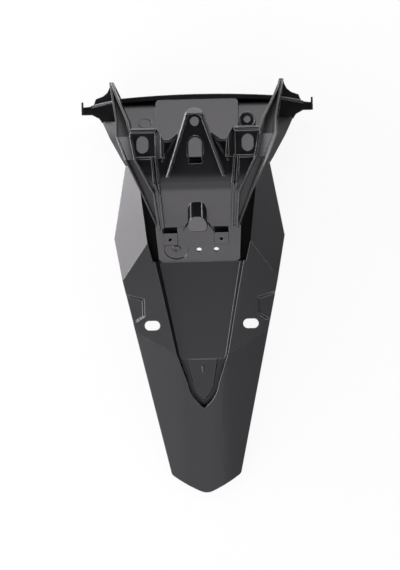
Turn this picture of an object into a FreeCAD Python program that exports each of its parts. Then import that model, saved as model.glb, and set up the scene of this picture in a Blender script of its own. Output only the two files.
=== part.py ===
import FreeCAD, Part
import math
import os

Vec = FreeCAD.Vector
os.makedirs("parts", exist_ok=True)

# Rear mudguard of a motor scooter, one injection moulding, in mm.
# X runs across, Y runs along from the flap's tip up to the crossbar, Z is up off the table it lies on.
# Each size below is written once; every later form is placed from these names.

# Walls
WALL = 3.0
RIB = 2.6
DEEP = 400.0
DRILL = 9.0
LAP = 0.5

# Flap outline, half widths and stations along Y
TIP_Y = -224.0
TIP_BOW = 1.6
CORNER = (40.0, -201.0)
CORNER_R = 7.0
TIP_R = 16.0
EDGE_LOW = (76.6, -35.0)
EDGE_MID = (89.5, 24.0)
EDGE_WIDE = (98.1, 72.5)
WAIST = (83.2, 155.5)
WAIST_TURN = (5.0, 2.0)

# Flap facets: the rim point where three facets meet, and the fall of each facet
RIM_TOP = (59.0, 67.0, 80.0)
RIM_KNEE = (29.4, -63.0, 49.0)
RIM_END = (65.2, 128.0)
UPPER_OUT_SLOPE = -0.70
UPPER_UP_SLOPE = -0.10
LOWER_TURN_SLOPE = 0.05
CREASE_STEP = 0.6
CROWN_R = 150.0

# Recess down the middle of the flap
RECESS_MID = (43.0, 11.5)
RECESS_LOW = (19.0, -95.5)
RECESS_TIP_Y = -126.8
RECESS_BOW = 4.2
RECESS_DROP = 8.5
RECESS_SLOPE = 0.20
RECESS_RUN = 2.6
RECESS_HEAD = 22.0
CREST_CLEAR = 18.0
SUMP_Y = -68.0
SUMP_DROP = 9.0
SUMP_LEDGE = 1.0
TONGUE_TOP = 16.8
TONGUE_MID = (12.6, -92.0)
TONGUE_TIP_Y = -115.0
TONGUE_BOW = 2.6
TONGUE_DROP = 1.3
NIB = (0.0, -79.0)
NIB_WIDE = 2.0
NIB_LONG = 7.6
NIB_TALL = 0.9
GROOVE_FLOOR = 58.0
GROOVE_HALF = 53.4
GROOVE_OVER = 1.0
FOOT_REACH = 9.0

# Reflector pockets and number plate slots
POCKET_IN = 67.6
POCKET_TOP = 0.3
POCKET_FOOT = -16.5
POCKET_SKEW = 5.0
POCKET_RUN = (8.0, 16.0)
POCKET_DROP = 3.6
POCKET_DRAFT = 0.7
POCKET_OVER = 12.0
SLOT_X = 56.7
SLOT_Y = -28.2
SLOT_LONG = 17.6
SLOT_WIDE = 10.8

# Lamp plate
PLATE_HALF = 46.8
PLATE_FOOT = 44.6
PLATE_HEAD = 98.0
PLATE_SHOULDER = 49.0
PLATE_NECK = 44.0
PLATE_STEP = 5.0
PLATE_SLOPE = 0.75
PLATE_R = 4.0
DISC = (-26.0, 58.4)
DISC_R = 14.0
DISC_DEEP = 1.6
COLLAR_R = 5.0
COLLAR_BORE = 2.4
LAMP_HOLES = ((0.0, 57.6), (19.8, 57.6))
LAMP_HOLE_R = 2.9
TAB_X = (-32.6, 26.2)
TAB_HALF = 8.3
TAB_LONG = 13.8
TAB_WELL = 6.6
TAB_TALL = 2.4
TAB_BOSS = 2.2
TAB_HOLE_UP = 7.2
TAB_HOLE_R = 1.9
GAP_DEEP = 11.0

# Ramp, its nose and the flat bracket above it
RAMP_FOOT = 84.0
RAMP_STEP = 7.0
RAMP_HALF = 39.5
RAMP_SIDE = 6.0
BEND_Y = 134.0
BEND_R = 40.0
NOSE_X = 0.0
NOSE_HALF = 10.8
NOSE_R = 8.0
NOSE_SLOPE = 0.72
NOSE_TOP = 112.8
NOSE_FACET = 95.0
NOSE_FOOT = 78.6
NOSE_FOOT_R = 5.0
NOTCH = 14.0
NOTCH_BACK = 4.0
NOTCH_BEVEL = 2.4
RISER_OVER = 4.0
RAIL_TALL = 7.0
RAIL_TOP_Y = 164.0
RAIL_GAP = 4.6
RAIL_BEND_HALF = 42.5
RAIL_TOP_HALF = 45.0
TWIN_FOOT_Y = 122.0

# Crown of the bracket: arch, scoops and bolt boxes
CROWN_TALL = 9.0
ARCH_FOOT = (37.0, 141.6)
ARCH_SINK = 8.0
ARCH_SHOULDER = (12.2, 209.0)
ARCH_TOP = 220.0
ARCH_BAND = 3.4
ARCH_CAP = 6.6
CAP_SLOPE = 0.62
ARCH_BEVEL = 1.9
ARCH_BOLT_Y = 204.5
ARCH_BOLT_R = 5.0
WINDOW_HALF = 7.4
WINDOW_FOOT = 162.0
WINDOW_TOP = 186.0
WINDOW_RIM = 2.4
WINDOW_LIP = 2.0
WINDOW_SINK = 12.0
SILL_LONG = 5.6
SILL_DEEP = 9.0
SCOOP_OUT = 43.8
SCOOP_FLOOR = ((36.2, 184.4), (28.5, 184.4))
SCOOP_IN = (19.0, 191.6)
SCOOP_R = 5.0
SCOOP_SHARE = 0.6
STRUT = ((20.5, 189.0), (37.5, 160.5))
BOX_IN = 45.8
BOX_RISE = 1.4
BOX_SIDE_SLOPE = 1.3
BOX_OUT = 72.6
BOX_TOP = 198.0
BOX_FOOT = 163.6
BOX_HEAD = 5.6
BOX_FOOT_TALL = 4.0
BOX_FOOT_SHORT = 4.0
HEAD_SLOPE = 0.8
OVAL_X = 60.2
OVAL_Y = 179.0
OVAL_WIDE = 13.0
OVAL_LONG = 18.8
EAR_TAB_Y = 204.6
EAR_TAB_R = 9.8
EAR_TAB_LONG = 12.0
EAR_TAB_HOLE_R = 3.5
EAR_TAB_HOLE_UP = 1.0
EAR_TAB_RIM = 1.5

# Deck that runs down behind the bracket to the crossbar
DECK_HALF = 47.6
DECK_STEP = 8.0
DECK_SLOPE = 0.88
DECK_FLUSH = 1.0
DECK_R = 5.0
BAR_FACE = 234.0
BAR_BOW = 3.6
BAR_HALF = 90.2
BAR_LIP = 5.4
BAR_TALL = 30.0
DECK_LAP = 2.0
RING_R = 8.0
RING_WIDE = 1.4
RING_DEEP = 0.8

# Webs and lugs at the crossbar's ends
WEB_Z = 14.0
WEB_SINK = WEB_Z - WALL + LAP
LUG_OUT = 133.4
LUG_NECK = 121.8
LUG_Y = (216.0, 225.0)
LUG_LIP = 2.2
LUG_LIP_LONG = 15.0
LUG_LIP_TALL = 15.0
WEB_IN = 89.0
WEB_LOW = (113.6, 211.7)
WEB_HIGH = ((120.6, 226.4), (118.4, 230.6), (117.2, 234.4), (108.4, 237.6),
            (103.6, 241.8), (101.0, 247.0), (99.6, 252.4), (95.6, 252.4))
WEB_RIB_ROWS = ((90.0, 232.0, 20.0), (104.0, 229.5, 12.0), (121.0, 226.0, 3.0))

# Arms: rows of station, inner and outer half width, rib heights, floor and foot of the outer wall
ARM_ROWS = (
    (82.0, 43.0, 46.4, 107.0, 101.0, 97.0, 56.0),
    (122.0, 47.0, 63.0, 138.0, 120.0, 114.0, 56.0),
    (162.0, 67.5, 81.0, 151.0, 138.0, 127.0, 46.0),
    (189.0, 72.4, 91.5, 143.0, 121.0, 112.0, 25.0),
    (207.0, 76.5, 92.0, 118.0, 96.0, 88.0, WEB_SINK),
    (243.0, 93.0, 98.6, 48.0, 46.0, 34.0, WEB_SINK),
    (253.0, 95.4, 100.4, 42.0, 40.0, 30.0, WEB_SINK),
)

# Skirts below the arms: rows of station, half width of the edge, and height at the top and at the edge
SKIRT_ROWS = (
    (WAIST[1], WAIST[0], 60.0, 52.0),
    (ARM_ROWS[2][0], 87.2, 56.0, 47.0),
    (ARM_ROWS[3][0], 102.0, 41.0, 26.0),
    (208.0, 110.6, 31.0, WEB_SINK),
)


class Slope:
    """A plane through a point, given by its rise along X and along Y."""

    def __init__(self, at, out, up):
        self.at = at
        self.out = out
        self.up = up

    def z(self, x, y):
        return self.at[2] + self.out * (x - self.at[0]) + self.up * (y - self.at[1])

    def point(self, x, y, lift=0.0):
        return Vec(x, y, self.z(x, y) + lift)

    def normal(self):
        return Vec(-self.out, -self.up, 1.0).normalize()

    def moved(self, lift):
        return Slope((self.at[0], self.at[1], self.at[2] + lift), self.out, self.up)

    def inside(self, depth):
        return self.moved(-depth * math.sqrt(1.0 + self.out ** 2 + self.up ** 2))

    def mirrored(self):
        return Slope((-self.at[0], self.at[1], self.at[2]), -self.out, self.up)

    def under(self):
        reach = 2.0 * DEEP
        square = ((-reach, -reach), (reach, -reach), (reach, reach), (-reach, reach))
        return face([self.point(x, y) for x, y in square]).extrude(Vec(0, 0, -4.0 * reach))


def slope_through(a, b, c):
    """The plane through three points."""
    n = (Vec(*b) - Vec(*a)).cross(Vec(*c) - Vec(*a))
    return Slope(a, -n.x / n.z, -n.y / n.z)


def face(points):
    return Part.Face(Part.makePolygon(list(points) + [points[0]]))


def prism(outline, low, high):
    return face([Vec(x, y, low) for x, y in outline]).extrude(Vec(0, 0, high - low))


def slab(slope, outline, top, drop):
    """A sheet lying on a slope, cut to a plan outline."""
    return face([slope.point(x, y, top) for x, y in outline]).extrude(Vec(0, 0, -drop))


def mirror(shape):
    return shape.mirror(Vec(0, 0, 0), Vec(1, 0, 0))


def both(shape):
    return [shape, mirror(shape)]


def two_sided(half):
    """A closed outline from its right half, which runs from the centre line to the centre line."""
    left = [(-x, y) for x, y in reversed(half) if x > 1e-6]
    return list(half) + left


def inset(outline, step):
    """The outline moved inward by step with mitred corners; points run anticlockwise."""
    moved = []
    count = len(outline)
    for i in range(count):
        a = Vec(*outline[i - 1], 0)
        b = Vec(*outline[i], 0)
        c = Vec(*outline[(i + 1) % count], 0)
        d1 = (b - a).normalize()
        d2 = (c - b).normalize()
        n1 = Vec(-d1.y, d1.x, 0)
        n2 = Vec(-d2.y, d2.x, 0)
        bend = (n1 + n2).normalize()
        move = bend * (step / max(bend.dot(n1), 0.3))
        moved.append((b.x + move.x, b.y + move.y))
    return moved


def bowed(a, b, bow, count=6):
    """Points on a shallow curve from a to just before b, which stands out to the right by bow."""
    along = Vec(b[0] - a[0], b[1] - a[1], 0).normalize()
    points = []
    for i in range(count):
        t = i / count
        out = 4.0 * bow * t * (1.0 - t)
        points.append((a[0] + (b[0] - a[0]) * t + along.y * out, a[1] + (b[1] - a[1]) * t - along.x * out))
    return points


def plan_box(x_low, x_high, y_low, y_high):
    return [(x_low, y_low), (x_high, y_low), (x_high, y_high), (x_low, y_high)]


def below(y):
    """Everything nearer to the flap's tip than a station."""
    return prism(plan_box(-DEEP, DEEP, -DEEP, y), -DEEP, DEEP)


def strip(sections):
    """A ruled solid through closed sections."""
    wires = [Part.makePolygon(list(s) + [s[0]]) for s in sections]
    return Part.makeLoft(wires, True, True)


def upright(path, thick):
    """Standing ribs along a plan path of (x, y, top, foot), one plate per leg."""
    plates = []
    for a, b in zip(path, path[1:]):
        along = Vec(b[0] - a[0], b[1] - a[1], 0).normalize()
        across = Vec(-along.y, along.x, 0) * (thick / 2.0)
        reach = along * (thick / 2.0)
        low = [Vec(a[0], a[1], a[3]) - reach, Vec(b[0], b[1], b[3]) + reach]
        high = [Vec(b[0], b[1], b[2]) + reach, Vec(a[0], a[1], a[2]) - reach]
        plate = face([p - across for p in low + high]).extrude(across * 2.0)
        plates.append(plate)
    return plates


def rounded(solid, corners, radius):
    """Rounds the upright edges that stand at the given plan points."""
    picked = []
    for edge in solid.Edges:
        ends = [v.Point for v in edge.Vertexes]
        if len(ends) == 2 and abs(ends[0].x - ends[1].x) < 1e-6 and abs(ends[0].y - ends[1].y) < 1e-6:
            if any(math.hypot(ends[0].x - x, ends[0].y - y) < 0.5 for x, y in corners):
                picked.append(edge)
    return solid.makeFillet(radius, picked)


def stadium(x, y, long_x, long_y, low, high):
    """An upright plug with two round ends."""
    r = min(long_x, long_y) / 2.0
    dx = long_x / 2.0 - r
    dy = long_y / 2.0 - r
    ends = [(x - dx, y - dy), (x + dx, y + dy)]
    plug = None
    for ex, ey in ends:
        drum = Part.makeCylinder(r, high - low, Vec(ex, ey, low))
        plug = drum if plug is None else plug.fuse(drum)
    wide = max(2.0 * dx, 2.0 * r if dx < 1e-6 else 0.0)
    tall = max(2.0 * dy, 2.0 * r if dy < 1e-6 else 0.0)
    return plug.fuse(Part.makeBox(wide, tall, high - low, Vec(x - wide / 2.0, y - tall / 2.0, low)))


def drum_on(slope, x, y, r, low, high):
    """A round plug square to a slope, from low to high along its normal."""
    n = slope.normal()
    return Part.makeCylinder(r, high - low, slope.point(x, y) + n * low, n)


# Flap facets
upper = Slope(RIM_TOP, UPPER_OUT_SLOPE, UPPER_UP_SLOPE)
edge_mid_3d = (EDGE_MID[0], EDGE_MID[1], upper.z(*EDGE_MID))
middle = slope_through(RIM_TOP, edge_mid_3d, RIM_KNEE)
crease = (EDGE_LOW[0] - RIM_KNEE[0], EDGE_LOW[1] - RIM_KNEE[1])
lower_out = middle.out - LOWER_TURN_SLOPE * crease[1] / crease[0]
lower = Slope(RIM_KNEE, lower_out, middle.up + LOWER_TURN_SLOPE)


def crowned_under(slope):
    """The solid under the lower flap: two slopes joined by a round crown along the middle."""
    lean = math.atan(-slope.out)
    half = CROWN_R * math.sin(lean)
    ridge = slope.z(0, TIP_Y)
    side = ridge + slope.out * half
    top = side + CROWN_R * (1.0 - math.cos(lean))
    far = ridge + slope.out * DEEP
    start = TIP_Y - DEEP
    drop = -slope.up * DEEP
    arc = Part.Arc(Vec(-half, start, side + drop), Vec(0, start, top + drop), Vec(half, start, side + drop))
    legs = [Vec(half, start, side + drop), Vec(DEEP, start, far + drop),
            Vec(DEEP, start, -4 * DEEP), Vec(-DEEP, start, -4 * DEEP),
            Vec(-DEEP, start, far + drop), Vec(-half, start, side + drop)]
    wire = Part.Wire([arc.toShape()] + Part.makePolygon(legs).Edges)
    return Part.Face(wire).extrude(Vec(0, 1, slope.up) * (3 * DEEP))


flap_half = bowed((0, TIP_Y), CORNER, TIP_BOW, 4) + [CORNER, EDGE_LOW, EDGE_MID, EDGE_WIDE, WAIST]
flap_half += [(WAIST[0] - WAIST_TURN[0], WAIST[1] + WAIST_TURN[1]), RIM_END]
flap_outline = two_sided(flap_half)
flap_plan = prism(flap_outline, -DEEP / 4, DEEP)
flap_plan = rounded(flap_plan, [CORNER, (-CORNER[0], CORNER[1])], CORNER_R)
flap_plan = rounded(flap_plan, [(0, TIP_Y)], TIP_R)


def flap_solid(depth):
    """Everything under the flap's facets, the facets sunk by depth."""
    body = crowned_under(lower.inside(depth))
    for slope in (upper, middle):
        low = slope.inside(depth)
        body = body.common(low.under()).common(low.mirrored().under())
    return body


outer = flap_solid(0.0).common(flap_plan)
skin = outer.cut(flap_solid(WALL))

# Recess down the flap, with a deeper sump round the tongue
recess_floor = Slope((0, RIM_KNEE[1], RIM_KNEE[2] - RECESS_DROP), 0.0, RECESS_SLOPE)
rim_half = bowed((0, RECESS_TIP_Y), RECESS_LOW, RECESS_BOW)
rim_half += [RECESS_LOW, RIM_KNEE[:2], RECESS_MID, (GROOVE_HALF, PLATE_FOOT + RECESS_HEAD)]
rim = two_sided(rim_half)
floor_plan = inset(rim, RECESS_RUN)
mouth_z = RECESS_DROP + CREST_CLEAR
mouth_run = CREST_CLEAR * RECESS_RUN / RECESS_DROP
mouth = recess_floor.moved(mouth_z)
recess = strip([[mouth.point(x, y) for x, y in inset(rim, -mouth_run)],
                [recess_floor.point(x, y) for x, y in floor_plan]])
recess_out = strip([[mouth.point(x, y) for x, y in inset(rim, -mouth_run - WALL)],
                    [recess_floor.point(x, y, -WALL) for x, y in inset(floor_plan, -WALL)]])
sump_plan = inset(rim, RECESS_RUN - SUMP_LEDGE)
sump = slab(recess_floor, sump_plan, CREST_CLEAR, SUMP_DROP + CREST_CLEAR).common(below(SUMP_Y))
sump_out = slab(recess_floor, inset(sump_plan, -WALL), 0.0, SUMP_DROP + WALL).common(below(SUMP_Y + WALL))
tongue_half = bowed((0, TONGUE_TIP_Y), TONGUE_MID, TONGUE_BOW) + [TONGUE_MID, (TONGUE_TOP, SUMP_Y)]
tongue_plan = two_sided(tongue_half)
tongue = slab(recess_floor, tongue_plan, -TONGUE_DROP, SUMP_DROP)
tongue_core = slab(recess_floor, inset(tongue_plan, RIB), -TONGUE_DROP - WALL, DEEP / 4)
nib = stadium(NIB[0], NIB[1], NIB_WIDE, NIB_LONG, 0.0, DEEP)
nib = nib.common(recess_floor.moved(NIB_TALL - TONGUE_DROP).under())
nib = nib.cut(recess_floor.moved(-TONGUE_DROP - WALL).under())

# Grooves on both sides of the bracket
groove_end = (RIM_END[0] + GROOVE_OVER, RIM_END[1] + GROOVE_OVER)
groove_plan = two_sided([(GROOVE_HALF, PLATE_FOOT), RIM_TOP[:2], groove_end])
groove = prism(groove_plan, GROOVE_FLOOR, DEEP)
groove_out = prism(inset(groove_plan, -WALL), GROOVE_FLOOR - WALL, DEEP)
foot_plan = two_sided([(PLATE_HALF, PLATE_FOOT), (PLATE_SHOULDER, RAMP_FOOT),
                       (RIM_END[0], RIM_END[1] + FOOT_REACH)])
foot_core = prism(inset(foot_plan, RIB), -DEEP, DEEP)

flap = skin.fuse([recess_out.common(outer), sump_out.common(outer), groove_out.common(outer)])
flap = flap.cut(recess).cut(groove).cut(sump.cut(tongue)).cut(tongue_core).cut(foot_core).fuse(nib)
crease_slope = crease[1] / crease[0]
crease_mid = RIM_KNEE[1] - crease_slope * RIM_KNEE[0]
far = EDGE_WIDE[0]
low_plan = two_sided([(0, TIP_Y - WALL), (far, TIP_Y - WALL), (far, crease_mid + crease_slope * far),
                      (0, crease_mid)])
skim = prism(low_plan, -DEEP / 4, DEEP).cut(crowned_under(lower.moved(-CREASE_STEP)))
flap = flap.cut(skim)


def pocket(side):
    """One reflector pocket at the flap's edge: what is cut, and the tray round it."""
    edge = EDGE_WIDE[0] + POCKET_OVER
    foot = POCKET_FOOT - POCKET_SKEW
    head = POCKET_TOP + POCKET_SKEW
    plan = [(POCKET_IN, POCKET_TOP), (POCKET_IN, POCKET_FOOT), (POCKET_IN + POCKET_RUN[0], foot),
            (edge, foot), (edge, head), (POCKET_IN + POCKET_RUN[1], head)]
    if side < 0:
        plan = [(-x, y) for x, y in reversed(plan)]
    slope = middle if side > 0 else middle.mirrored()
    spread = POCKET_DRAFT * (CREST_CLEAR + POCKET_DROP)
    cut = strip([[slope.point(x, y, CREST_CLEAR) for x, y in inset(plan, -spread)],
                 [slope.point(x, y, -POCKET_DROP) for x, y in plan]])
    tray = slab(slope, inset(plan, -WALL), 0.0, WALL + POCKET_DROP).common(flap_plan)
    return cut, tray


for side in (1, -1):
    cut, tray = pocket(side)
    flap = flap.fuse(tray.common(outer)).cut(cut)
    flap = flap.cut(stadium(side * SLOT_X, SLOT_Y, SLOT_LONG, SLOT_WIDE, 0.0, DEEP / 2))

# Lamp plate: a sloping plate over the recess, with its front wall and side walls
plate_z = recess_floor.z(0, PLATE_FOOT) + PLATE_STEP
plate = Slope((0, PLATE_FOOT, plate_z), 0.0, PLATE_SLOPE)
plate_drop = WALL * math.sqrt(1.0 + PLATE_SLOPE ** 2)
plate_plan = two_sided([(PLATE_HALF, PLATE_FOOT), (PLATE_SHOULDER, RAMP_FOOT), (PLATE_NECK, PLATE_HEAD)])
plate_trim = rounded(prism(plate_plan, 0, DEEP), [(-PLATE_HALF, PLATE_FOOT), (PLATE_HALF, PLATE_FOOT)], PLATE_R)
lamp_plate = slab(plate, plate_plan, 0.0, plate_drop)
plate_walls = prism(plate_plan, GROOVE_FLOOR - WALL, DEEP / 2).common(plate.under())
plate_walls = plate_walls.cut(prism(inset(plate_plan, RIB), 0, DEEP))
lamp = lamp_plate.fuse(plate_walls.common(below(RAMP_FOOT))).common(plate_trim)
lamp = lamp.cut(drum_on(plate, DISC[0], DISC[1], DISC_R, -DISC_DEEP, DRILL).cut(
    drum_on(plate, DISC[0], DISC[1], COLLAR_R, -DISC_DEEP, DRILL)))
lamp = lamp.cut(drum_on(plate, DISC[0], DISC[1], COLLAR_BORE, -DISC_DEEP, DRILL))
for x, y in LAMP_HOLES:
    lamp = lamp.cut(drum_on(plate, x, y, LAMP_HOLE_R, -DRILL, DRILL))
tab_head = RAMP_FOOT - TAB_WELL
tab_foot = tab_head - TAB_LONG
for x in TAB_X:
    pad = plan_box(x - TAB_HALF, x + TAB_HALF, tab_foot, tab_head)
    lamp = lamp.fuse(slab(plate, pad, TAB_TALL, TAB_TALL + WALL + TAB_BOSS))
    lamp = lamp.cut(drum_on(plate, x, tab_foot + TAB_HOLE_UP, TAB_HOLE_R, -DRILL, DRILL))
    gap = plan_box(x - TAB_HALF, x + TAB_HALF, tab_head, RAMP_FOOT)
    sunk = plate.z(0, tab_head) - GAP_DEEP
    well = prism(inset(gap, -RIB), sunk - WALL, DEEP).common(plate.under())
    lamp = lamp.fuse(well).cut(prism(gap, sunk, DEEP))

# Ramp and flat bracket: one bent section run across, cut to the plan of the crown
ramp = plate.moved(RAMP_STEP)
level = ramp.z(0, BEND_Y)
lean = math.atan(PLATE_SLOPE)
tangent = BEND_R * math.tan(lean / 2.0)


def bent_section(depth):
    """The bent line of the ramp and bracket, sunk square to itself by depth."""
    r = BEND_R - depth
    y0 = BEND_Y + tangent
    centre = Vec(0, y0, level - BEND_R)
    on_ramp = centre + Vec(0, -math.sin(lean), math.cos(lean)) * r
    on_top = centre + Vec(0, 0, 1) * r
    midway = centre + Vec(0, -math.sin(lean / 2), math.cos(lean / 2)) * r
    start = on_ramp - Vec(0, math.cos(lean), math.sin(lean)) * (DEEP / 4)
    end = on_top + Vec(0, DEEP / 3, 0)
    return start, on_ramp, midway, on_top, end


a0, a1, a2, a3, a4 = bent_section(0.0)
b0, b1, b2, b3, b4 = bent_section(WALL)
bent = Part.Wire([Part.makeLine(a0, a1), Part.Arc(a1, a2, a3).toShape(), Part.makeLine(a3, a4),
                  Part.makeLine(a4, b4), Part.makeLine(b4, b3), Part.Arc(b3, b2, b1).toShape(),
                  Part.makeLine(b1, b0), Part.makeLine(b0, a0)])
bent_sheet = Part.Face(bent).extrude(Vec(2 * DEEP, 0, 0))
bent_sheet.translate(Vec(-DEEP, 0, 0))

arm_inner = [(row[1] + RIB, row[0]) for row in ARM_ROWS[:4]]


def arch_outline(band, cap, z=0.0):
    """The arch in plan at a height, its legs moved in by band and its cap by cap."""
    foot_x = ARCH_FOOT[0] - band
    shoulder_x = ARCH_SHOULDER[0] - band
    foot_y = ARCH_FOOT[1] - ARCH_SINK
    right = Vec(shoulder_x, ARCH_SHOULDER[1] - cap / 2, z)
    top = Vec(0, ARCH_TOP - cap, z)
    left = Vec(-shoulder_x, ARCH_SHOULDER[1] - cap / 2, z)
    legs = [Vec(foot_x, foot_y, z), right]
    other = [left, Vec(-foot_x, foot_y, z), Vec(foot_x, foot_y, z)]
    return Part.Wire([Part.makePolygon(legs).Edges[0], Part.Arc(right, top, left).toShape()]
                     + Part.makePolygon(other).Edges)


def raised(wire, low, high):
    shape = Part.Face(wire).extrude(Vec(0, 0, high - low))
    shape.translate(Vec(0, 0, low))
    return shape


arch_block = raised(arch_outline(0.0, 0.0), 0, DEEP)
arch_inside = raised(arch_outline(ARCH_BAND, ARCH_CAP), 0, DEEP)
ramp_half = [(RAMP_HALF + RAMP_SIDE, RAMP_FOOT)] + arm_inner[1:]
ramp_half += [(BOX_OUT, BOX_TOP), (SCOOP_OUT, BOX_TOP), *SCOOP_FLOOR, SCOOP_IN]
scoop_corners = [(side * x, y) for x, y in SCOOP_FLOOR for side in (1, -1)]
sheet_trim = rounded(prism(two_sided(ramp_half), 0, DEEP), scoop_corners, SCOOP_R).fuse(arch_block)
ear_tab = Part.makeCylinder(EAR_TAB_R, DEEP, Vec(OVAL_X, EAR_TAB_Y, 0))
ear_tab = ear_tab.fuse(Part.makeBox(2 * EAR_TAB_R, EAR_TAB_LONG, DEEP,
                                    Vec(OVAL_X - EAR_TAB_R, EAR_TAB_Y - EAR_TAB_LONG, 0)))
notch_at = Vec(NOSE_X, RAMP_FOOT - NOTCH_BACK, 0)
notch = Part.makeCylinder(NOTCH, DEEP, notch_at)
square = ramp.normal()
flare_at = ramp.point(NOSE_X, RAMP_FOOT - NOTCH_BACK) - square * NOTCH_BEVEL
flare = Part.makeCone(NOTCH, NOTCH + 2 * NOTCH_BEVEL, 2 * NOTCH_BEVEL, flare_at, square)
ramp_sheet = bent_sheet.common(sheet_trim.fuse(ear_tab)).cut(notch).cut(flare)

# Riser under the ramp's lower edge, left open above the two lamp tabs
riser_half = RAMP_HALF + RISER_OVER
riser_block = prism(plan_box(-riser_half, riser_half, RAMP_FOOT, RAMP_FOOT + RIB), 0, DEEP)
riser_round = Part.makeCylinder(NOTCH + RIB, DEEP, notch_at)
riser = riser_block.fuse(riser_round.cut(below(RAMP_FOOT))).cut(notch)
riser = riser.common(ramp.under()).cut(plate.inside(WALL).under()).cut(flare)
for x in TAB_X:
    riser = riser.cut(Part.makeBox(2 * TAB_HALF, 3 * RIB, DEEP, Vec(x - TAB_HALF, RAMP_FOOT - RIB, 0)))

# Nose: a round shouldered hood standing out of the ramp, its front cut to a flat facet
nose_top = ramp.z(0, NOSE_TOP)


def hood(thin, front):
    """The hood's block, thinned by a wall, from its front to where it dies into the ramp."""
    half = NOSE_HALF - thin
    block = Part.makeBox(2 * half, NOSE_TOP + NOSE_R - front, DEEP, Vec(NOSE_X - half, front, nose_top - thin - DEEP))
    shoulders = [e for e in block.Edges if all(abs(v.Z - nose_top + thin) < 1e-6 for v in e.Vertexes)
                 and abs(e.Vertexes[0].X - e.Vertexes[1].X) < 1e-6]
    plan = plan_box(NOSE_X - half, NOSE_X + half, front, NOSE_TOP + NOSE_R)
    trim = rounded(prism(plan, -DEEP, DEEP), plan[:2], NOSE_FOOT_R - thin)
    return block.makeFillet(NOSE_R - thin, shoulders).common(trim)


facet = Slope((0, NOSE_FACET, nose_top), 0.0, NOSE_SLOPE)
hood_out = hood(0.0, NOSE_FOOT).common(facet.under()).cut(plate.inside(WALL).under())
hood_in = hood(RIB, NOSE_FOOT + RIB).common(facet.inside(RIB).under())
behind_ramp = ramp.inside(WALL).under().cut(below(RAMP_FOOT)).cut(notch)
hood_cap = hood_out.cut(behind_ramp)

# Rails on both sides of the ramp
rail_path = [(RAMP_HALF, RAMP_FOOT), (RAIL_BEND_HALF, BEND_Y), (RAIL_TOP_HALF, RAIL_TOP_Y)]
twin_path = [(RAIL_BEND_HALF, TWIN_FOOT_Y)] + [(x + RAIL_GAP, y) for x, y in rail_path[1:]]


def rail(points):
    path = []
    for x, y in points:
        top = min(ramp.z(0, y), level) + RAIL_TALL
        path.append((x, y, top, top - RAIL_TALL - 2 * WALL))
    return upright(path, RIB)


rails = []
for plate_leg in rail(rail_path) + rail(twin_path):
    rails += both(plate_leg)

# Arch flange, scoop ribs, bolt boxes and the ear tab's rim
crown_top = level + CROWN_TALL
under_level = level - WALL
bevel_foot = crown_top - ARCH_BEVEL
arch_bevel = Part.makeLoft([arch_outline(0.0, 0.0, bevel_foot),
                            arch_outline(ARCH_BEVEL, ARCH_BEVEL, crown_top)], True, True)
arch_band = raised(arch_outline(0.0, 0.0), under_level, bevel_foot).fuse(arch_bevel).cut(arch_inside)
cap = Slope((0, ARCH_TOP - ARCH_CAP, crown_top), 0.0, -CAP_SLOPE)
arch_band = arch_band.cut(below(ARCH_FOOT[1])).common(cap.under())
rib_top = level + SCOOP_SHARE * CROWN_TALL
ribs = []
head_path = [(BOX_IN, BOX_TOP - RIB), (BOX_OUT, BOX_TOP - RIB)]
foot_path = [(BOX_IN, BOX_FOOT), (BOX_OUT - BOX_FOOT_SHORT, BOX_FOOT)]
scoop_path = [(x, y - RIB / 2) for x, y in SCOOP_FLOOR + (SCOOP_IN,)]
head = Slope((0, BOX_TOP - BOX_HEAD, crown_top), 0.0, -HEAD_SLOPE)
box_head = prism(plan_box(BOX_IN, BOX_OUT, BOX_TOP - BOX_HEAD, BOX_TOP), under_level, DEEP)
box_side = Slope((BOX_IN, BOX_FOOT, level), -BOX_SIDE_SLOPE, 0.0)
side_plan = [(BOX_IN, BOX_FOOT), (BOX_IN, BOX_TOP), (SCOOP_OUT, BOX_TOP), SCOOP_FLOOR[0]]
side_plan += [(SCOOP_FLOOR[0][0] - BOX_RISE, BOX_FOOT)]
box_wall = prism(side_plan, under_level, crown_top).common(box_side.under())
right_ribs = [box_head.common(head.under()), box_wall]
right_ribs += upright([(x, y, crown_top, under_level) for x, y in head_path], RIB)
right_ribs += upright([(x, y, level + BOX_FOOT_TALL, under_level) for x, y in foot_path], RIB)
right_ribs += upright([(x, y, rib_top, under_level) for x, y in scoop_path], RIB)
right_ribs += upright([(x, y, rib_top, under_level) for x, y in STRUT], RIB)
for rib in right_ribs:
    ribs += both(rib)
tab_rim = Part.makeCylinder(EAR_TAB_R, WALL + EAR_TAB_RIM, Vec(OVAL_X, EAR_TAB_Y, under_level))
tab_rim = tab_rim.cut(Part.makeCylinder(EAR_TAB_R - EAR_TAB_RIM, DEEP, Vec(OVAL_X, EAR_TAB_Y, 0)))
window_rim = stadium(0, (WINDOW_TOP + WINDOW_FOOT) / 2, 2 * (WINDOW_HALF + WINDOW_RIM),
                     WINDOW_TOP - WINDOW_FOOT + 2 * WINDOW_RIM, under_level, level + WINDOW_LIP)

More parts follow.
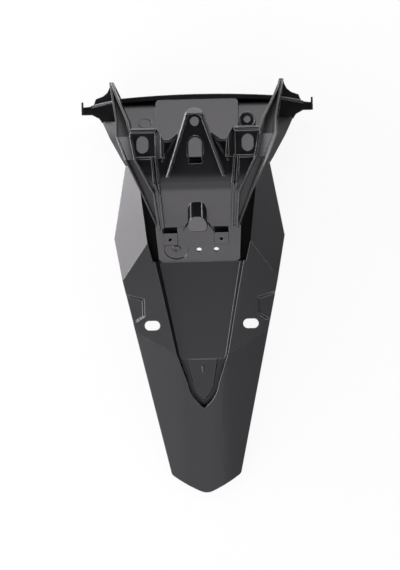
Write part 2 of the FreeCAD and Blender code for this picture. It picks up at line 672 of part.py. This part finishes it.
bracket = ramp_sheet.fuse([riser, hood_cap, arch_band, tab_rim, window_rim] + rails + ribs)
bracket = bracket.cut(hood_in.cut(behind_ramp))
window = stadium(0, (WINDOW_TOP + WINDOW_FOOT - WINDOW_SINK) / 2, 2 * WINDOW_HALF,
                 WINDOW_TOP - WINDOW_FOOT + WINDOW_SINK, 0, DEEP).cut(below(WINDOW_FOOT))
sill = plan_box(-WINDOW_HALF, WINDOW_HALF, WINDOW_FOOT - SILL_LONG, WINDOW_FOOT)
sill_tray = prism(inset(sill, -RIB), level - SILL_DEEP - WALL, level)
bracket = bracket.cut(window).fuse(sill_tray).cut(prism(sill, level - SILL_DEEP, DEEP))
bracket = bracket.cut(Part.makeCylinder(ARCH_BOLT_R, DEEP, Vec(0, ARCH_BOLT_Y, 0)))
bracket = bracket.cut(Part.makeCylinder(EAR_TAB_HOLE_R, DEEP, Vec(OVAL_X, EAR_TAB_Y + EAR_TAB_HOLE_UP, 0)))
for side in (1, -1):
    bracket = bracket.cut(stadium(side * OVAL_X, OVAL_Y, OVAL_WIDE, OVAL_LONG, 0, DEEP))


# Slope of the deck, from the back of the ramp down to the crossbar, and of the sunk sides beside it
bar_edge = BAR_FACE - BAR_LIP
deck = Slope((0, bar_edge + BAR_BOW, BAR_TALL - DECK_FLUSH), 0.0, -DECK_SLOPE)
sunk_deck = deck.moved(-DECK_STEP)
deck_head = BEND_Y + (deck.z(0, BEND_Y) - level) / (DECK_SLOPE + PLATE_SLOPE) - DECK_LAP


# Arms: an open channel, its two ribs and its floor each lofted through the stations
def arm_rib(x, y, top, foot):
    return [Vec(x, y, foot), Vec(x, y, top), Vec(x + RIB, y, top), Vec(x + RIB, y, foot)]


def inner_foot(row):
    """How far down the inner rib goes: to the deck's raised sides, or to the web at the ear."""
    if row[0] > BAR_FACE:
        return WEB_Z - WALL
    return min(row[5] - 2 * WALL, sunk_deck.z(0, row[0]) - WALL)


inner_rib = strip([arm_rib(row[1], row[0], row[3], inner_foot(row)) for row in ARM_ROWS])
outer_rib = strip([arm_rib(row[2] - RIB, row[0], row[4], row[6]) for row in ARM_ROWS])
arm_floor = strip([[Vec(row[1] + LAP, row[0], row[5]), Vec(row[2] - LAP, row[0], row[5]),
                    Vec(row[2] - LAP, row[0], row[5] - WALL), Vec(row[1] + LAP, row[0], row[5] - WALL)]
                   for row in ARM_ROWS])


# Skirts: flared walls from the arms down to the edge
def arm_side(y):
    """The middle of the arm's outer wall at a station."""
    for near, far in zip(ARM_ROWS, ARM_ROWS[1:]):
        if near[0] <= y <= far[0]:
            return near[2] + (far[2] - near[2]) * (y - near[0]) / (far[0] - near[0]) - RIB / 2


def skirt_section(row):
    y, low_x, top, low = row
    top_x = arm_side(y)
    return [Vec(top_x, y, top), Vec(low_x, y, low), Vec(low_x - WALL, y, low), Vec(top_x - WALL, y, top)]


skirt = strip([skirt_section(row) for row in SKIRT_ROWS])

# Webs and lugs
web_y = SKIRT_ROWS[-1][0] - 2 * LAP
web_plan = [(WEB_IN, web_y), (SKIRT_ROWS[-1][1], web_y), WEB_LOW, (LUG_NECK, LUG_Y[0]), (LUG_OUT, LUG_Y[0])]
web_plan += [(LUG_OUT, LUG_Y[1])] + list(WEB_HIGH) + [(BAR_HALF - WALL, BAR_FACE)]
web = prism(web_plan, WEB_Z - WALL, WEB_Z)
lug_lip = Part.makeBox(LUG_LIP, LUG_LIP_LONG, LUG_LIP_TALL, Vec(LUG_OUT - LUG_LIP, LUG_Y[0], WEB_Z - WALL))
web_rib = upright([(x, y, WEB_Z + tall, WEB_Z - LAP) for x, y, tall in WEB_RIB_ROWS], RIB)
sides = []
for shape in [inner_rib, outer_rib, arm_floor, skirt, web, lug_lip] + web_rib:
    sides += both(shape)

# Deck and crossbar: the deck falls from the back of the bracket to a bowed bar with a turned lip
deck_drop = WALL * math.sqrt(1.0 + DECK_SLOPE ** 2)
deck_side = bar_edge + BAR_BOW * (1.0 - (DECK_HALF / BAR_HALF) ** 2) + LAP
deck_half = [(0, deck_head), (DECK_HALF, deck_head), (DECK_HALF, deck_side), (0, bar_edge + BAR_BOW + DECK_LAP)]
deck_plan = two_sided(deck_half)
deck_trim = rounded(prism(deck_plan, -DEEP, DEEP), [(DECK_HALF, deck_side), (-DECK_HALF, deck_side)], DECK_R)
deck_core = prism(inset(deck_plan, RIB), -DEEP, DEEP)
deck_walls = slab(deck, deck_plan, 0.0, DECK_STEP + deck_drop).cut(deck_core)
deck_sheet = slab(deck, deck_plan, 0.0, deck_drop).fuse(deck_walls).common(deck_trim)
deck_sheet = deck_sheet.common(ramp.inside(LAP).under())
side_in = DECK_HALF - RIB
arm_line = [(row[1] + RIB / 2, row[0]) for row in ARM_ROWS[1:5]]
side_start = arm_line[0][1]
for near, far in zip(arm_line, arm_line[1:]):
    if near[0] <= side_in <= far[0]:
        side_start = near[1] + (far[1] - near[1]) * (side_in - near[0]) / (far[0] - near[0])
block_plan = [(side_in, side_start)] + [point for point in arm_line if point[1] >= side_start]
block_plan += [(BAR_HALF, BAR_FACE - WALL / 3), (side_in, BAR_FACE)]
block = slab(sunk_deck, block_plan, 0.0, deck_drop)
ring = drum_on(sunk_deck, -OVAL_X, EAR_TAB_Y, RING_R, -RING_DEEP, DRILL)
ring = ring.cut(drum_on(sunk_deck, -OVAL_X, EAR_TAB_Y, RING_R - RING_WIDE, -DRILL, 2 * DRILL))


def bar_band(front, depth):
    """A bowed band across, its front edge at a given station and of a given depth along Y."""
    def bow(y):
        return Part.Arc(Vec(-BAR_HALF, y, 0), Vec(0, y + BAR_BOW, 0), Vec(BAR_HALF, y, 0)).toShape()
    ends = [Part.makeLine(Vec(s * BAR_HALF, front, 0), Vec(s * BAR_HALF, front - depth, 0)) for s in (1, -1)]
    return Part.Wire(Part.__sortEdges__([bow(front), ends[0], bow(front - depth), ends[1]]))


table = flap.BoundBox.ZMin
bar_wall = raised(bar_band(BAR_FACE, WALL), table, BAR_TALL)
bar_lip = raised(bar_band(BAR_FACE, BAR_LIP), BAR_TALL - WALL, BAR_TALL)
top_parts = [deck_sheet, bar_wall, bar_lip, block, mirror(block).cut(ring)]

# One moulding
mudguard = flap.fuse([lamp, bracket] + sides + top_parts).removeSplitter()
print("solids", len(mudguard.Solids), "valid", mudguard.isValid(), "volume cm3", mudguard.Volume / 1000.0)
box = mudguard.BoundBox
shift = Vec(-(box.XMin + box.XMax) / 2.0, -(box.YMin + box.YMax) / 2.0, -box.ZMin)
mudguard.translate(shift)
print("shift", shift, "size", box.XLength, box.YLength, box.ZLength)
print("level", level, "slot z", middle.z(SLOT_X, SLOT_Y))
mudguard.exportStep("parts/rear_mudguard.step")
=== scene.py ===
"""Looks of a motor scooter's rear mudguard: one black moulding on a pale studio floor."""

import logging
import math
from dataclasses import dataclass, field
from enum import Enum
from typing import Any, Dict, List, Optional, Tuple

import bmesh
import bpy
from mathutils import Matrix, Vector
from mathutils.bvhtree import BVHTree


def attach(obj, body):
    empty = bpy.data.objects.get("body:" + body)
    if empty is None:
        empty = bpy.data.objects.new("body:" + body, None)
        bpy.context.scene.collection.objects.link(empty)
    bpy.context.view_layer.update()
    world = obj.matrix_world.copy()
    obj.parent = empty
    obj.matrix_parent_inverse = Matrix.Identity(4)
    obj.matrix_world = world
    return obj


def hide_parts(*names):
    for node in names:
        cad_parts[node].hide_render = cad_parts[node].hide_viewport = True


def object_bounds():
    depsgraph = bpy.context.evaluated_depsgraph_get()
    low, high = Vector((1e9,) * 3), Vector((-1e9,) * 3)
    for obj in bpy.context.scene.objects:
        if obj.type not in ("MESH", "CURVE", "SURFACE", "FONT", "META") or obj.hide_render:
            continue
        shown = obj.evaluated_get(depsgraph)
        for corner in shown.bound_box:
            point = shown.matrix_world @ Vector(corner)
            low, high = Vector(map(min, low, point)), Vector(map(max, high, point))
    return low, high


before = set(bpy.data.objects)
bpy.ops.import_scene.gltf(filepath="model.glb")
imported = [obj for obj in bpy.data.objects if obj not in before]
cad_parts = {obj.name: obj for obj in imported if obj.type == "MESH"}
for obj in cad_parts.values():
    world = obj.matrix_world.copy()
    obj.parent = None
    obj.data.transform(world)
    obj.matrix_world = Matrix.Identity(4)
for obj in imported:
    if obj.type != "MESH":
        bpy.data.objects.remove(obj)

LOG = logging.getLogger("mudguard")
CAD_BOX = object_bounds()
IMAGE_WIDE = 400
IMAGE_HIGH = 570
MM_PER_M = 1000.0
WHITE = (1.0, 1.0, 1.0, 1.0)
Colour = Tuple[float, float, float]
PointKey = Tuple[int, int, int]
NormalsAt = Dict[PointKey, List[Vector]]


class EdgeKind(Enum):
    """How an edge of the moulding is finished."""

    ROUNDED = "rounded"
    CREASE = "crease"
    SMOOTH = "smooth"


class LampSide(Enum):
    """Where a lamp stands round the mudguard, in degrees from its right-hand side, seen from above."""

    RIGHT = 0.0
    RIGHT_BACK = 30.0
    CROSSBAR = 90.0
    LEFT_BACK = 150.0
    LEFT = 180.0
    LEFT_FRONT = 210.0
    LEFT_TIP = 250.0
    TIP = 270.0


class Term:
    """A shader value that can be added, taken away, multiplied and divided."""

    def __init__(self, sheet: "ShaderSheet", socket: bpy.types.NodeSocket) -> None:
        """Wraps one output socket.

        Args:
            sheet: The sheet whose nodes the value belongs to.
            socket: The output socket that carries it.
        """
        self.sheet = sheet
        self.socket = socket

    def _math(self, operation: str, first: Any, second: Any) -> "Term":
        """Adds a Math node.

        Args:
            operation: The node's operation.
            first: The first value, a Term or a number.
            second: The second value, a Term or a number.

        Returns:
            The node's result.
        """
        return self.sheet.term("ShaderNodeMath", 0, {"operation": operation}, {0: first, 1: second})

    def __add__(self, other: Any) -> "Term":
        """The sum."""
        return self._math("ADD", self, other)

    def __radd__(self, other: Any) -> "Term":
        """The sum, with a number first."""
        return self._math("ADD", other, self)

    def __sub__(self, other: Any) -> "Term":
        """The difference."""
        return self._math("SUBTRACT", self, other)

    def __rsub__(self, other: Any) -> "Term":
        """The difference, with a number first."""
        return self._math("SUBTRACT", other, self)

    def __mul__(self, other: Any) -> "Term":
        """The product."""
        return self._math("MULTIPLY", self, other)

    def __rmul__(self, other: Any) -> "Term":
        """The product, with a number first."""
        return self._math("MULTIPLY", other, self)

    def __truediv__(self, other: Any) -> "Term":
        """The quotient."""
        return self._math("DIVIDE", self, other)

    def __rtruediv__(self, other: Any) -> "Term":
        """The quotient, with a number first."""
        return self._math("DIVIDE", other, self)


class ShaderSheet:
    """The nodes of one material or world."""

    MIX_FIRST = 6
    MIX_SECOND = 7
    MIX_RESULT = 2

    def __init__(self, tree: bpy.types.NodeTree) -> None:
        """Starts from an empty tree.

        Args:
            tree: The node tree to fill.
        """
        self.tree = tree
        tree.nodes.clear()

    def node(self, kind: str, settings: Optional[Dict[str, Any]] = None,
             sockets: Optional[Dict[Any, Any]] = None) -> bpy.types.Node:
        """Adds one node.

        Args:
            kind: The node's type name.
            settings: The node's own settings, set before its sockets.
            sockets: The value or Term for each input, by its name or number.

        Returns:
            The node.
        """
        made = self.tree.nodes.new(kind)
        for name, value in (settings or {}).items():
            setattr(made, name, value)
        for key, value in (sockets or {}).items():
            if isinstance(value, Term):
                self.tree.links.new(value.socket, made.inputs[key])
            else:
                made.inputs[key].default_value = value
        return made

    def term(self, kind: str, output: Any, settings: Optional[Dict[str, Any]] = None,
             sockets: Optional[Dict[Any, Any]] = None) -> Term:
        """Adds one node and wraps one of its outputs.

        Args:
            kind: The node's type name.
            output: The output's name or number.
            settings: The node's own settings.
            sockets: The inputs, as for node.

        Returns:
            The wrapped output.
        """
        return Term(self, self.node(kind, settings, sockets).outputs[output])

    def blend(self, share: Term, first: Any, second: Any) -> Term:
        """Mixes two colours.

        Args:
            share: How much of the second colour shows.
            first: The first colour, a Term or four numbers.
            second: The second colour, a Term or four numbers.

        Returns:
            The mixed colour.
        """
        return self.term("ShaderNodeMix", self.MIX_RESULT, {"data_type": "RGBA"},
                         {"Factor": share, self.MIX_FIRST: first, self.MIX_SECOND: second})

    def step(self, value: Term, start: float, end: float) -> Term:
        """Turns a value into a mask.

        Args:
            value: The value.
            start: Where the mask is still nought.
            end: Where the mask has risen to one.

        Returns:
            The mask.
        """
        return self.term("ShaderNodeMapRange", "Result", None,
                         {"Value": value, "From Min": start, "From Max": end, "To Min": 0.0, "To Max": 1.0})


@dataclass(frozen=True)
class BlackPlastic:
    """Black polypropylene with a fine spark grain and a polished nose; its rounded edges are painted paler,
    partly as rubbed wear and partly as a painted highlight.
    """

    name: str = "black_plastic"
    # Face mark for the rounded edges, which take the paler colour of wear and painted highlight.
    wear_and_highlight_mark: str = "edge_wear_and_highlight_mark"
    deep: Colour = (0.0062, 0.0060, 0.0066)
    pale: Colour = (0.0110, 0.0106, 0.0115)
    # Paler colour of the rounded edges: rubbed wear and a painted highlight together.
    wear_and_highlight: Colour = (0.0260, 0.0254, 0.0265)
    refraction: float = 1.49
    rough_low: float = 0.27
    rough_high: float = 0.37
    rub_coat: float = 0.9
    coat_rough: float = 0.22
    polish_rough: float = 0.18
    polish_at_mm: Tuple[float, float] = (0.0, 80.5)
    polish_half_mm: Tuple[float, float] = (18.0, 27.0)
    polish_inside: float = 0.85
    polish_above_mm: Tuple[float, float] = (0.2, 0.6)
    ramp_at_mm: Tuple[float, float] = (29.35, 80.32)
    ramp_slope: float = 0.75
    cloud_mm: float = 60.0
    cloud_detail: float = 3.0
    cloud_rough: float = 0.55
    grain_mm: float = 0.55
    grain_soft: float = 0.7
    grain_share: float = 0.7
    grain_deep_mm: float = 0.012
    grain_strength: float = 0.35
    fine_per_grain: float = 2.6
    fine_detail: float = 2.0
    fine_share: float = 0.3

    def build(self) -> bpy.types.Material:
        """Makes the material.

        Returns:
            The material.
        """
        made = bpy.data.materials.new(self.name)
        made.use_nodes = True
        sheet = ShaderSheet(made.node_tree)
        place = sheet.term("ShaderNodeTexCoord", "Object")
        cloud = sheet.term("ShaderNodeTexNoise", "Fac", None,
                           {"Vector": place, "Scale": MM_PER_M / self.cloud_mm, "Detail": self.cloud_detail,
                            "Roughness": self.cloud_rough})
        edge_wear_and_highlight = sheet.term("ShaderNodeAttribute", "Fac", {"attribute_name": self.wear_and_highlight_mark})
        plain = sheet.blend(cloud, (*self.deep, 1.0), (*self.pale, 1.0))
        # Rounded edges take a paler colour: partly rubbed wear, partly a painted highlight standing in for
        # the lamps' glints along the edges.
        shade = sheet.blend(edge_wear_and_highlight, plain, (*self.wear_and_highlight, 1.0))
        moulded = cloud * (self.rough_high - self.rough_low) + self.rough_low
        rough = moulded + self._polish(sheet, place) * (self.polish_rough - moulded)
        skin = sheet.term("ShaderNodeBsdfPrincipled", "BSDF", None,
                          {"Base Color": shade, "Roughness": rough, "Normal": self._grain(sheet, place),
                           "IOR": self.refraction, "Coat Weight": edge_wear_and_highlight * self.rub_coat,
                           "Coat Roughness": self.coat_rough})
        sheet.node("ShaderNodeOutputMaterial", None, {"Surface": skin})
        return made

    def _grain(self, sheet: ShaderSheet, place: Term) -> Term:
        """Makes the fine grain that the mould leaves.

        Args:
            sheet: The material's sheet.
            place: Where the shaded point is, in the piece's own frame.

        Returns:
            The grain's normal.
        """
        grain = sheet.term("ShaderNodeTexVoronoi", "Distance", {"feature": "SMOOTH_F1"},
                           {"Vector": place, "Scale": MM_PER_M / self.grain_mm,
                            "Smoothness": self.grain_soft})
        fine = sheet.term("ShaderNodeTexNoise", "Fac", None,
                          {"Vector": place, "Scale": self.fine_per_grain * MM_PER_M / self.grain_mm,
                           "Detail": self.fine_detail})
        height = grain * self.grain_share + fine * self.fine_share
        return sheet.term("ShaderNodeBump", "Normal", None,
                          {"Height": height, "Strength": self.grain_strength,
                           "Distance": self.grain_deep_mm / MM_PER_M})

    def _polish(self, sheet: ShaderSheet, place: Term) -> Term:
        """Marks the nose, which stands up out of the ramp with a polished skin.

        Args:
            sheet: The material's sheet.
            place: Where the shaded point is, in the piece's own frame.

        Returns:
            One on the nose and nought elsewhere.
        """
        parts = sheet.node("ShaderNodeSeparateXYZ", None, {0: place})
        across, along, high = (Term(sheet, output) * MM_PER_M for output in parts.outputs)
        off_x = (across - self.polish_at_mm[0]) / self.polish_half_mm[0]
        off_y = (along - self.polish_at_mm[1]) / self.polish_half_mm[1]
        near = sheet.step(off_x * off_x + off_y * off_y, 1.0, self.polish_inside)
        above = high - self.ramp_at_mm[1] - (along - self.ramp_at_mm[0]) * self.ramp_slope
        return near * sheet.step(above, *self.polish_above_mm)


@dataclass(frozen=True)
class StudioPaper:
    """Pale seamless paper, which shows near white to the camera and keeps a soft shadow."""

    name: str = "studio_paper"
    paper: Colour = (0.82, 0.82, 0.82)
    lift: float = 0.90

    def build(self) -> bpy.types.Material:
        """Makes the material.

        Returns:
            The material.
        """
        made = bpy.data.materials.new(self.name)
        made.use_nodes = True
        sheet = ShaderSheet(made.node_tree)
        path = sheet.node("ShaderNodeLightPath")
        seen = Term(sheet, path.outputs["Is Camera Ray"])
        glossy = Term(sheet, path.outputs["Is Glossy Ray"])
        through = Term(sheet, path.outputs["Is Transmission Ray"])
        paper = sheet.term("ShaderNodeBsdfDiffuse", 0, None, {"Color": (*self.paper, 1.0)})
        glow = sheet.term("ShaderNodeEmission", 0, None, {"Color": WHITE, "Strength": 1.0})
        mixed = sheet.term("ShaderNodeMixShader", 0, None,
                           {0: (seen + glossy + through) * self.lift, 1: paper, 2: glow})
        sheet.node("ShaderNodeOutputMaterial", None, {"Surface": mixed})
        return made


@dataclass
class MouldedBody:
    """The mudguard's one moulding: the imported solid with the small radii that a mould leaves."""

    node: str = "rear_mudguard"
    piece: str = "mudguard_moulding"
    slot: str = "black_plastic"
    weld_mm: float = 0.05
    flat_deg: float = 0.1
    keys_per_mm: float = 10.0
    round_mm: float = 0.65
    round_steps: int = 3
    round_from_deg: float = 25.0
    crease_from_deg: float = 1.2
    midway_share: float = 0.6
    stray_share: float = 0.5
    flat_weight: int = 90
    finish: BlackPlastic = field(default_factory=BlackPlastic)

    def build(self) -> bpy.types.Object:
        """Makes, rounds and dresses the moulding.

        Returns:
            The finished piece.
        """
        shape = self._merged()
        packed = BVHTree.FromBMesh(shape)
        self._round(shape)
        self._settle(shape, packed)
        mesh = bpy.data.meshes.new(self.piece)
        shape.to_mesh(mesh)
        shape.free()
        made = bpy.data.objects.new(self.piece, mesh)
        bpy.context.scene.collection.objects.link(made)
        self._shade(made)
        mesh.materials.append(self.finish.build())
        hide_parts(self.node)
        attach(made, "root")
        return made

    def _merged(self) -> bmesh.types.BMesh:
        """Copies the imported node, joins its loose triangles and clears the lines inside flat faces.

        Returns:
            The joined shape, its faces all convex.
        """
        shape = bmesh.new()
        shape.from_mesh(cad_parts[self.node].data)
        weld = self.weld_mm / MM_PER_M
        bmesh.ops.remove_doubles(shape, verts=shape.verts, dist=weld)
        bmesh.ops.dissolve_degenerate(shape, edges=shape.edges, dist=weld)
        bmesh.ops.dissolve_limit(shape, angle_limit=math.radians(self.flat_deg),
                                 use_dissolve_boundaries=False, verts=shape.verts, edges=shape.edges)
        bmesh.ops.connect_verts_concave(shape, faces=shape.faces)
        return shape

    def _key(self, spot: Vector) -> PointKey:
        """A point's place to a tenth of a millimetre, as a name for it."""
        return tuple(round(value * self.keys_per_mm * MM_PER_M) for value in spot)

    def _surface_normals(self) -> NormalsAt:
        """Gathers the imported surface's own normals at each of its points.

        Returns:
            The normals that meet at each point.
        """
        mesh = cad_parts[self.node].data
        found: NormalsAt = {}
        for loop in mesh.loops:
            normal = mesh.corner_normals[loop.index].vector.copy()
            found.setdefault(self._key(mesh.vertices[loop.vertex_index].co), []).append(normal)
        return found

    def _kind(self, edge: bmesh.types.BMEdge, normals: NormalsAt) -> EdgeKind:
        """Tells how one edge is finished.

        Args:
            edge: The edge.
            normals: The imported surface's normals at each point.

        Returns:
            Rounded for a true edge, crease between two facets, smooth along a curved wall.
        """
        if not edge.is_manifold:
            return EdgeKind.SMOOTH
        turn = math.degrees(edge.calc_face_angle(0.0))
        if turn < self.crease_from_deg or self._curved(edge, normals):
            return EdgeKind.SMOOTH
        return EdgeKind.ROUNDED if turn > self.round_from_deg else EdgeKind.CREASE

    def _curved(self, edge: bmesh.types.BMEdge, normals: NormalsAt) -> bool:
        """Tells whether an edge lies inside a curved wall.

        Args:
            edge: The edge.
            normals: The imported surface's normals at each point.

        Returns:
            True where each end of the edge has a normal about midway between its two faces.
        """
        first, second = (face.normal for face in edge.link_faces)
        middle = (first + second).normalized()
        widest = first.angle(middle) * self.midway_share
        return all(any(normal.angle(middle) < widest for normal in normals.get(self._key(vert.co), []))
                   for vert in edge.verts)

    def _round(self, shape: bmesh.types.BMesh) -> None:
        """Rounds the true edges and marks the faces that the rounding makes, for the paler edge colour of
        wear and painted highlight.

        Args:
            shape: The joined shape, changed in place.
        """
        mark = shape.faces.layers.float.new(self.finish.wear_and_highlight_mark)
        normals = self._surface_normals()
        kinds = {edge: self._kind(edge, normals) for edge in shape.edges}
        for edge, kind in kinds.items():
            edge.smooth = kind is not EdgeKind.CREASE
        picked = [edge for edge, kind in kinds.items() if kind is EdgeKind.ROUNDED]
        made = bmesh.ops.bevel(shape, geom=picked, offset=self.round_mm / MM_PER_M, offset_type="OFFSET",
                               affect="EDGES", segments=self.round_steps, profile=0.5, material=-1,
                               clamp_overlap=False, loop_slide=False)
        # The rounding's faces are marked for the paler edge colour, which is rubbed wear and a painted
        # highlight.
        for face in made["faces"]:
            face[mark] = 1.0
        for face in shape.faces:
            face.smooth = True

    def _settle(self, shape: bmesh.types.BMesh, packed: BVHTree) -> None:
        """Lays any point that the rounding threw off the moulding, or out of its box, back on it.

        Args:
            shape: The rounded shape, changed in place.
            packed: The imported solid's faces.
        """
        low, high = CAD_BOX
        farthest = self.round_mm * self.stray_share / MM_PER_M
        for vert in shape.verts:
            spot, _, _, away = packed.find_nearest(vert.co)
            inside = all(low[axis] <= vert.co[axis] <= high[axis] for axis in range(3))
            if away > farthest or not inside:
                vert.co = spot

    def _shade(self, made: bpy.types.Object) -> None:
        """Keeps broad faces flat in shading while the roundings run smoothly into them.

        Args:
            made: The piece.
        """
        weigh = made.modifiers.new("flat_faces", "WEIGHTED_NORMAL")
        weigh.mode = "FACE_AREA"
        weigh.weight = self.flat_weight
        weigh.keep_sharp = True


@dataclass(frozen=True)
class SoftLamp:
    """One large soft box, aimed at the mudguard."""

    name: str
    side: LampSide
    height_deg: float
    watts: float
    wide_m: float = 1.6
    high_m: float = 0.7
    away_m: float = 2.1
    tint: Colour = (0.985, 0.955, 1.0)
    aim_m: Tuple[float, float, float] = (0.0, 0.0, 0.06)

    def build(self) -> bpy.types.Object:
        """Makes the lamp.

        Returns:
            The lamp's object.
        """
        data = bpy.data.lights.new(self.name, "AREA")
        data.shape = "RECTANGLE"
        data.size = self.wide_m
        data.size_y = self.high_m
        data.energy = self.watts
        data.color = self.tint
        made = bpy.data.objects.new(self.name, data)
        bpy.context.scene.collection.objects.link(made)
        turn = math.radians(self.side.value)
        rise = math.radians(self.height_deg)
        way = Vector((math.cos(rise) * math.cos(turn), math.cos(rise) * math.sin(turn), math.sin(rise)))
        made.location = Vector(self.aim_m) + way * self.away_m
        made.rotation_euler = (-way).to_track_quat("-Z", "Y").to_euler()
        made.visible_camera = False
        return made


@dataclass
class Studio:
    """The pale floor, the plain surroundings and the soft lamps."""

    floor_m: float = 60.0
    floor_drop_mm: float = 0.2
    around: float = 0.02
    paper: StudioPaper = field(default_factory=StudioPaper)
    lamps: Tuple[SoftLamp, ...] = (
        SoftLamp("left_key", LampSide.LEFT_BACK, height_deg=8.0, watts=58.0),
        SoftLamp("left_side", LampSide.LEFT, height_deg=20.0, watts=19.5),
        SoftLamp("left_fill", LampSide.LEFT_FRONT, height_deg=35.0, watts=19.0),
        SoftLamp("tip_low", LampSide.TIP, height_deg=20.0, watts=13.0),
        SoftLamp("tip_mid", LampSide.TIP, height_deg=38.0, watts=3.0),
        SoftLamp("tip_high", LampSide.TIP, height_deg=55.0, watts=5.6),
        SoftLamp("tip_top", LampSide.LEFT_TIP, height_deg=70.0, watts=2.4),
        SoftLamp("right_rim", LampSide.RIGHT_BACK, height_deg=20.0, watts=6.0),
        SoftLamp("right_strip", LampSide.RIGHT, height_deg=52.0, watts=6.0, wide_m=0.25, high_m=0.5),
        SoftLamp("crossbar_low", LampSide.CROSSBAR, height_deg=8.0, watts=10.5),
        SoftLamp("crossbar_high", LampSide.CROSSBAR, height_deg=28.0, watts=22.0),
    )

    def build(self) -> List[bpy.types.Object]:
        """Makes the floor, the world and the lamps.

        Returns:
            The lamps' objects.
        """
        self._floor()
        self._world()
        return [lamp.build() for lamp in self.lamps]

    def _floor(self) -> None:
        """Lays the floor under the mudguard."""
        shape = bmesh.new()
        bmesh.ops.create_grid(shape, x_segments=1, y_segments=1, size=self.floor_m / 2.0)
        drop = Vector((0.0, 0.0, -self.floor_drop_mm / MM_PER_M))
        bmesh.ops.translate(shape, vec=drop, verts=shape.verts)
        mesh = bpy.data.meshes.new("floor")
        shape.to_mesh(mesh)
        shape.free()
        mesh.materials.append(self.paper.build())
        floor = bpy.data.objects.new("floor", mesh)
        bpy.context.scene.collection.objects.link(floor)

    def _world(self) -> None:
        """Gives dim even surroundings, which show white to the camera."""
        world = bpy.data.worlds.new("surroundings")
        bpy.context.scene.world = world
        world.use_nodes = True
        sheet = ShaderSheet(world.node_tree)
        seen = sheet.term("ShaderNodeLightPath", "Is Camera Ray")
        back = sheet.term("ShaderNodeBackground", 0, None,
                          {"Color": WHITE, "Strength": seen * (1.0 - self.around) + self.around})
        sheet.node("ShaderNodeOutputWorld", None, {"Surface": back})


@dataclass
class PhotoCamera:
    """A long lens that looks almost straight down, turned a little, as the photograph was taken."""

    mm_per_pixel: float = 1.15
    away_m: float = 14.0
    plane_mm: float = 60.7
    lean_deg: float = 1.7
    roll_deg: float = 1.4
    sensor_mm: float = 36.0
    clip_from_m: float = 0.5
    clip_to_m: float = 100.0
    centre_px: Tuple[float, float] = (201.0, 300.0)
    centre_at_mm: Tuple[float, float] = (0.0, -15.25)

    def build(self) -> bpy.types.Object:
        """Makes the scene's camera.

        Returns:
            The camera's object.
        """
        data = bpy.data.cameras.new("camera")
        data.sensor_width = self.sensor_mm
        tall_m = IMAGE_HIGH * self.mm_per_pixel / MM_PER_M
        data.lens = self.sensor_mm * self.away_m / tall_m
        data.clip_start = self.clip_from_m
        data.clip_end = self.clip_to_m
        made = bpy.data.objects.new("camera", data)
        bpy.context.scene.collection.objects.link(made)
        made.matrix_world = self._place()
        bpy.context.scene.camera = made
        return made

    def _place(self) -> Matrix:
        """Works out where the camera stands and how it is turned.

        Returns:
            The camera's place.
        """
        lean = math.radians(self.lean_deg)
        roll = math.radians(self.roll_deg)
        turn = Matrix.Rotation(lean, 3, "Y") @ Matrix.Rotation(-roll, 3, "Z")
        step = self.mm_per_pixel / MM_PER_M
        right = turn @ Vector((1.0, 0.0, 0.0))
        up = turn @ Vector((0.0, 1.0, 0.0))
        back = turn @ Vector((0.0, 0.0, 1.0))
        spot = Vector((*self.centre_at_mm, self.plane_mm)) / MM_PER_M
        middle = spot + right * ((IMAGE_WIDE / 2.0 - self.centre_px[0]) * step)
        middle += up * ((self.centre_px[1] - IMAGE_HIGH / 2.0) * step)
        return Matrix.Translation(middle + back * self.away_m) @ turn.to_4x4()


def main() -> None:
    """Builds the moulding, the studio and the camera in order."""
    logging.basicConfig(level=logging.INFO, format="%(name)s: %(message)s")
    moulding = MouldedBody().build()
    LOG.info("%s: %d faces", moulding.name, len(moulding.data.polygons))
    lamps = Studio().build()
    LOG.info("studio: %d lamps", len(lamps))
    camera = PhotoCamera().build()
    LOG.info("%s: lens %.0f mm", camera.name, camera.data.lens)
    bpy.context.scene.view_settings.view_transform = "Standard"


if __name__ == "__main__":
    main()
